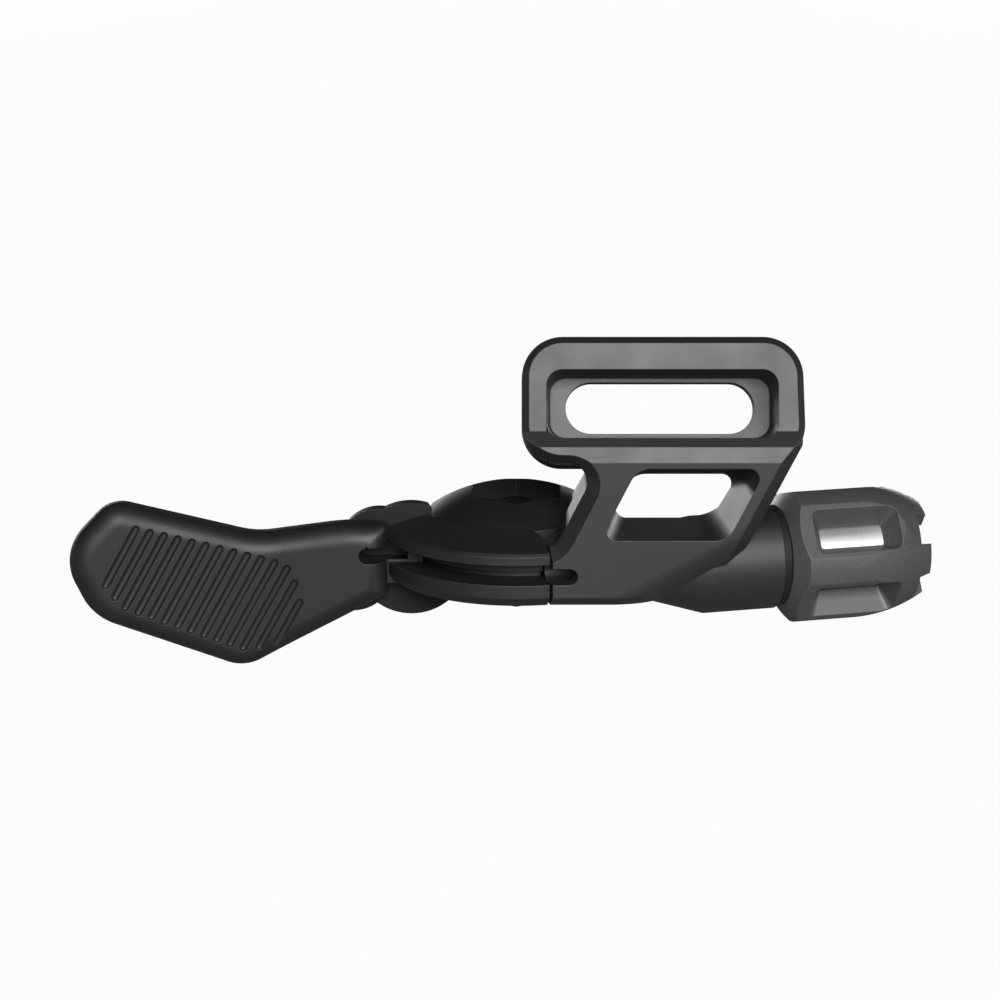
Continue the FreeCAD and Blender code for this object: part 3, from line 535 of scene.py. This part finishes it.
def farthest(piece, node):
    """How far, in mm, a piece's points lie from a solid's surface at most."""
    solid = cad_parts[node].data
    points = [vertex.co for vertex in solid.vertices]
    skin = BVHTree.FromPolygons(points, [list(face.vertices) for face in solid.polygons])
    return max(skin.find_nearest(vertex.co)[3] for vertex in piece.data.vertices) / MM


def end_tree(tree, result, shape, skin):
    """Realize, shade smooth, set the material and give the geometry out."""
    plain = add_node(tree, "GeometryNodeRealizeInstances")
    smooth = add_node(tree, "GeometryNodeSetShadeSmooth")
    dress = add_node(tree, "GeometryNodeSetMaterial")
    dress.inputs["Material"].default_value = skin
    tree.links.new(shape, plain.inputs["Geometry"])
    tree.links.new(plain.outputs["Geometry"], smooth.inputs["Geometry"])
    tree.links.new(smooth.outputs["Geometry"], dress.inputs["Geometry"])
    tree.links.new(dress.outputs["Geometry"], result.inputs["Geometry"])


# %% The ball ring
BALL_SIZES = {"Balls": 9, "Pitch Radius": 4.51 * MM, "Ball Radius": 0.8 * MM}


def build_ball_ring():
    """Balls on the points of a circle."""
    tree, given, result = new_group(
        "GeometryNodeTree", "ball_ring",
        [(label, "NodeSocketInt" if label == "Balls" else "NodeSocketFloat", size)
         for label, size in BALL_SIZES.items()],
        [("Geometry", "NodeSocketGeometry")])
    ring = add_node(tree, "GeometryNodeMeshCircle")
    ball = add_node(tree, "GeometryNodeMeshUVSphere")
    ball.inputs["Segments"].default_value = 24
    ball.inputs["Rings"].default_value = 14
    place = add_node(tree, "GeometryNodeInstanceOnPoints")
    tree.links.new(given.outputs["Balls"], ring.inputs["Vertices"])
    tree.links.new(given.outputs["Pitch Radius"], ring.inputs["Radius"])
    tree.links.new(given.outputs["Ball Radius"], ball.inputs["Radius"])
    tree.links.new(ring.outputs["Mesh"], place.inputs["Points"])
    tree.links.new(ball.outputs["Mesh"], place.inputs["Instance"])
    end_tree(tree, result, place.outputs["Instances"], ground_steel)
    return tree


ball_low, ball_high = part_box("bearing_balls")
ball_level = (ball_low[2] + ball_high[2]) / 2
ball_ring = grown(build_ball_ring(), "ball_ring", BALL_SIZES)
ball_ring.data.transform(Matrix.Translation((PIVOT.x * MM, PIVOT.y * MM, ball_level)))
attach(ball_ring, "bracket")
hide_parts("bearing_balls")
print("ball ring leaves the solid by at most mm", round(farthest(ball_ring, "bearing_balls"), 3))

# %% [markdown]
# ## A part that follows a path: the click spring
#
# Behind the knob a short coil spring presses the click ring outwards.  A coil is a round wire
# drawn along a helix, so the tree draws a spiral of constant radius and sweeps a circle along it.
# The mesh is then laid on the barrel's own axis, which leans 14 degrees away from the bracket.


# %% The coil
COIL_SIZES = {"Turns": 2.5, "Coil Radius": 3.55 * MM, "Length": 2.14 * MM, "Wire Radius": 0.28 * MM}


def build_coil():
    """A round wire swept along a helix."""
    tree, given, result = new_group(
        "GeometryNodeTree", "coil",
        [(label, "NodeSocketFloat", size) for label, size in COIL_SIZES.items()],
        [("Geometry", "NodeSocketGeometry")])
    helix = add_node(tree, "GeometryNodeCurveSpiral")
    helix.inputs["Resolution"].default_value = 48
    helix.inputs["Reverse"].default_value = True
    wire = add_node(tree, "GeometryNodeCurvePrimitiveCircle")
    wire.inputs["Resolution"].default_value = 16
    sweep = add_node(tree, "GeometryNodeCurveToMesh")
    sweep.inputs["Fill Caps"].default_value = True
    tree.links.new(given.outputs["Turns"], helix.inputs["Rotations"])
    tree.links.new(given.outputs["Coil Radius"], helix.inputs["Start Radius"])
    tree.links.new(given.outputs["Coil Radius"], helix.inputs["End Radius"])
    tree.links.new(given.outputs["Length"], helix.inputs["Height"])
    tree.links.new(given.outputs["Wire Radius"], wire.inputs["Radius"])
    tree.links.new(helix.outputs["Curve"], sweep.inputs["Curve"])
    tree.links.new(wire.outputs["Curve"], sweep.inputs["Profile Curve"])
    end_tree(tree, result, sweep.outputs["Mesh"], ground_steel)
    return tree


BARREL_START = Vector((-11.6244, -7.392, -15.1369))
BARREL_LEAN = math.radians(14)
COIL_START = 21.48
along = Vector(BARREL_WAY)
barrel_frame = Matrix((
    (math.sin(BARREL_LEAN), 0.0, along.x, BARREL_START.x * MM),
    (-math.cos(BARREL_LEAN), 0.0, along.y, BARREL_START.y * MM),
    (0.0, -1.0, 0.0, BARREL_START.z * MM),
    (0.0, 0.0, 0.0, 1.0)))
coil_spring = grown(build_coil(), "coil_spring", COIL_SIZES)
coil_spring.data.transform(barrel_frame @ Matrix.Translation((0, 0, COIL_START * MM)))
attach(coil_spring, "bracket")
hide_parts("click_spring")
print("coil leaves the solid by at most mm", round(farthest(coil_spring, "click_spring"), 3))

# %% [markdown]
# ## Hidden pieces
#
# The rest sits inside: races, seals, a circlip, bushes and a nut.  They are plain turned shapes
# that are right as they are, so their solids stay and only take a finish in their own slots.

# %% Finish the hidden solids
HIDDEN = {
    "pivot_spacer": ground_steel, "pivot_washer": ground_steel, "pivot_nut": black_bolt,
    "bearing_inner_race": ground_steel, "bearing_outer_race": ground_steel,
    "bearing_seals": soft_seal, "bearing_circlip": ground_steel, "adjuster_insert": brass_bush,
    "dust_seal": soft_seal, "knob_ring": black_bolt}
for node, skin in HIDDEN.items():
    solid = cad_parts[node].data
    solid.materials.clear()
    solid.materials.append(skin)
print("hidden pieces", len(HIDDEN))

# %% [markdown]
# ## The floor
#
# The photograph is white all round, with only a trace of a shadow.  A sheet just under the object
# does that, but lighting it until it is white would also flood the object.  So it glows for the
# camera, for rays through anything clear, and by half for mirror-like rays that meet it some way
# off.  Other rays meet a plain grey sheet, so the low faces of the object stay dark, and a trace
# of its shadow is left.

# %% White sheet
FLOOR_REACH = 4.0
FLOOR_DROP = 2.0 * MM
floor_mesh = bpy.data.meshes.new("studio_floor")
level = solid_low[2] - FLOOR_DROP
floor_mesh.from_pydata(
    [(x * FLOOR_REACH, y * FLOOR_REACH, level) for x, y in ((-1, -1), (1, -1), (1, 1), (-1, 1))],
    [], [(0, 1, 2, 3)])
studio_floor = bpy.data.objects.new("studio_floor", floor_mesh)
scene.collection.objects.link(studio_floor)
print("floor at mm", round(level / MM, 2))

# %% The sheet's glow
SHEET_GREY = (0.32, 0.32, 0.32, 1.0)
GLOW_SHARE = 0.97
GLOW_STARTS, GLOW_FULL = 0.06, 0.30
MIRRORED_SHARE = 0.5
paper = bpy.data.materials.new("white_paper")
paper.use_nodes = True
tree = paper.node_tree
sheet = tree.nodes["Principled BSDF"]
sheet.inputs["Base Color"].default_value = SHEET_GREY
sheet.inputs["Roughness"].default_value = 0.9
glow = add_node(tree, "ShaderNodeEmission")
rays = add_node(tree, "ShaderNodeLightPath")
near = add_node(tree, "ShaderNodeTexCoord")
span = add_node(tree, "ShaderNodeVectorMath", operation="LENGTH")
away = add_node(tree, "ShaderNodeMapRange", interpolation_type="SMOOTHSTEP")
away.inputs["From Min"].default_value = GLOW_STARTS
away.inputs["From Max"].default_value = GLOW_FULL
away.inputs["To Max"].default_value = MIRRORED_SHARE
seen = add_node(tree, "ShaderNodeMath", operation="MAXIMUM")
seen_too = add_node(tree, "ShaderNodeMath", operation="MAXIMUM")
share = add_node(tree, "ShaderNodeMath", operation="MULTIPLY")
share.inputs[1].default_value = GLOW_SHARE
blend = add_node(tree, "ShaderNodeMixShader")
tree.links.new(near.outputs["Object"], span.inputs[0])
tree.links.new(span.outputs["Value"], away.inputs["Value"])
mirrored = multiplied(tree, rays.outputs["Is Glossy Ray"], away.outputs["Result"])
tree.links.new(rays.outputs["Is Camera Ray"], seen.inputs[0])
tree.links.new(mirrored, seen.inputs[1])
tree.links.new(seen.outputs[0], seen_too.inputs[0])
tree.links.new(rays.outputs["Is Transmission Ray"], seen_too.inputs[1])
tree.links.new(seen_too.outputs[0], share.inputs[0])
tree.links.new(share.outputs[0], blend.inputs["Fac"])
tree.links.new(sheet.outputs["BSDF"], blend.inputs[1])
tree.links.new(glow.outputs["Emission"], blend.inputs[2])
tree.links.new(blend.outputs["Shader"], tree.nodes["Material Output"].inputs["Surface"])
floor_mesh.materials.append(paper)
print("sheet glows by", GLOW_SHARE, "for the camera")

# %% [markdown]
# ## Light and camera
#
# The photograph has one broad soft light in front, a little above the eye and to the right: the
# leaning plate throws it back at the camera, upright faces less so, and tops stay dark.  A large
# softbox does that, at a level where a white card facing it would just be white, and a dim room
# fills in.  Two weak lights low behind the part shape its back, and from the front they skim over
# the tops without showing.  The camera looks 15 degrees down from the front.

# %% Lights
VIEW_MID = Vector((-16.31, 4.54, -10.80)) * MM
LIGHT_DISTANCE = 0.9
ROOM_GREY = (0.02, 0.02, 0.02, 1.0)


def from_compass(azimuth, elevation):
    """The direction of a compass turn from the front and a height, in degrees."""
    turn, lift = math.radians(azimuth), math.radians(elevation)
    level_part = math.cos(lift)
    return Vector((math.sin(turn) * level_part, -math.cos(turn) * level_part, math.sin(lift)))


def softbox(name, azimuth, elevation, width, height, power):
    """A soft light that faces the object, placed by compass turn and height in degrees."""
    lamp = bpy.data.lights.new(name, "AREA")
    lamp.shape = "RECTANGLE"
    lamp.size = width
    lamp.size_y = height
    lamp.energy = power
    light = bpy.data.objects.new(name, lamp)
    way = from_compass(azimuth, elevation)
    light.location = VIEW_MID + way * LIGHT_DISTANCE
    light.rotation_euler = way.to_track_quat("Z", "Y").to_euler()
    scene.collection.objects.link(light)


softbox("front_softbox", azimuth=10.0, elevation=26.0, width=0.6, height=0.35, power=8.25)
softbox("left_back_softbox", azimuth=205.0, elevation=1.0, width=0.5, height=0.1, power=2.0)
softbox("right_back_softbox", azimuth=155.0, elevation=1.0, width=0.5, height=0.1, power=2.0)
world = bpy.data.worlds.new("dim_room")
scene.world = world
world.use_nodes = True
world.node_tree.nodes["Background"].inputs["Color"].default_value = ROOM_GREY

# %% Camera
CAMERA_LIFT = 15.0
CAMERA_DISTANCE = 300.0 * MM
camera_data = bpy.data.cameras.new("photo_view")
camera_data.lens = 102.6
camera_data.sensor_width = 36.0
camera_data.clip_start = 0.01
camera = bpy.data.objects.new("photo_view", camera_data)
back = from_compass(0.0, CAMERA_LIFT)
camera.location = VIEW_MID + back * CAMERA_DISTANCE
camera.rotation_euler = back.to_track_quat("Z", "Y").to_euler()
scene.collection.objects.link(camera)
scene.camera = camera
scene.view_settings.view_transform = "Standard"
print("camera at mm", [round(c / MM, 1) for c in camera.location])

# %% [markdown]
# ## Hand over
#
# The view layer is brought up to date, so that every piece stands where it was put.

# %% Bring the scene up to date
bpy.context.view_layer.update()
